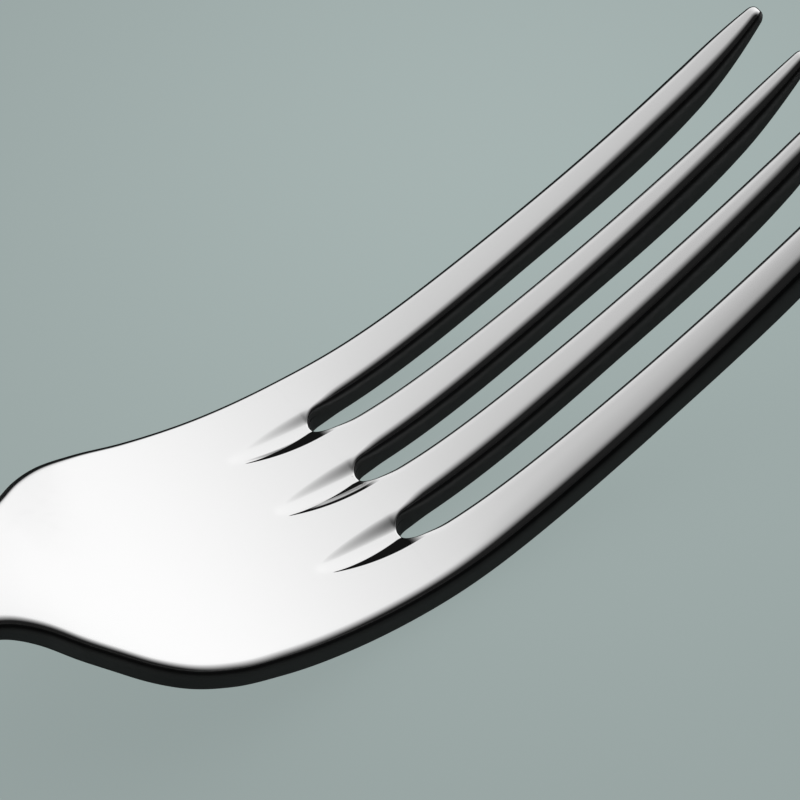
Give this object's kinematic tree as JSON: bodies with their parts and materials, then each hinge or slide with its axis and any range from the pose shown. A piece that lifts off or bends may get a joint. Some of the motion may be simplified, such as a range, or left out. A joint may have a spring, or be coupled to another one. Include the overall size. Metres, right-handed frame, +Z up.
{
  "type": "dinner fork",
  "caption": "One-piece polished steel table fork: slender tapering tines, a waisted neck, coined grooves behind the slots and a plain handle with a round end.",
  "frame": {"origin": "on the table, below the middle of the fork's length and width", "axes": "+X towards the tips of the tines, +Y to the fork's left side, +Z up from the table it rests on"},
  "size_m": [0.2013, 0.0262, 0.0194],
  "materials": {
    "polished_steel": "mirror-polished solid stainless steel, not plated"
  },
  "bodies": {
    "root": {"left_outer_tine": "polished_steel", "left_inner_tine": "polished_steel", "right_inner_tine": "polished_steel", "right_outer_tine": "polished_steel", "palm": "polished_steel", "neck": "polished_steel", "handle_stem": "polished_steel", "handle_end": "polished_steel"}
  },
  "joints": []
}
